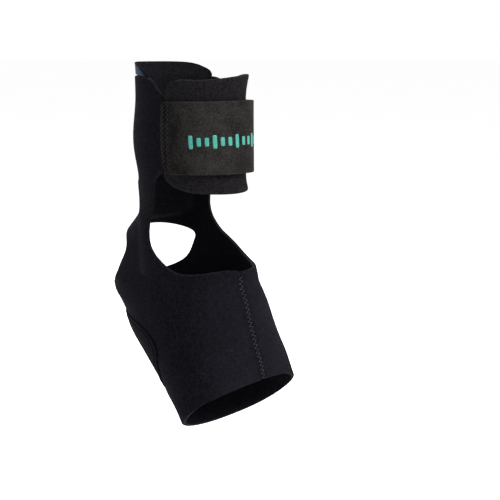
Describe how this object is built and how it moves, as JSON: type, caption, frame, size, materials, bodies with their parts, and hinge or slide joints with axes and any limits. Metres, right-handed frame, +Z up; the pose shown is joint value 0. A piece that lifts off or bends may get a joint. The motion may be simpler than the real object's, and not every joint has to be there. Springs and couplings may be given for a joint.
{
  "type": "heel support brace",
  "caption": "Neoprene ankle and heel brace in its worn form: foot sleeve with an open heel and rear upright, shin cuff with a strap, padded back and arch.",
  "frame": {"origin": "centre of the wearer's ankle joint, in the hollow where the ankle sits", "axes": "+Z up the shin, -Y toward the toes, which point forward and about 49 degrees down, +X to the medial side of a right foot"},
  "size_m": [0.0966, 0.1345, 0.2541],
  "materials": {
    "sleeve_neoprene": "black knit-faced neoprene foam, matt",
    "wrap_neoprene": "black knit-faced neoprene foam, matt",
    "strap_elastic": "charcoal looped elastic, matt with a fine grain",
    "hook_tape": "black hook tape",
    "pad_fabric": "dark blue knit over foam, matt",
    "arch_neoprene": "black knit-faced neoprene with a faint sheen"
  },
  "bodies": {
    "root": {"sleeve": "sleeve_neoprene", "cuff_wrap": "wrap_neoprene", "cuff_strap": "strap_elastic", "hook_tab": "hook_tape", "achilles_pad": "pad_fabric", "arch_pad": "arch_neoprene"}
  },
  "joints": []
}
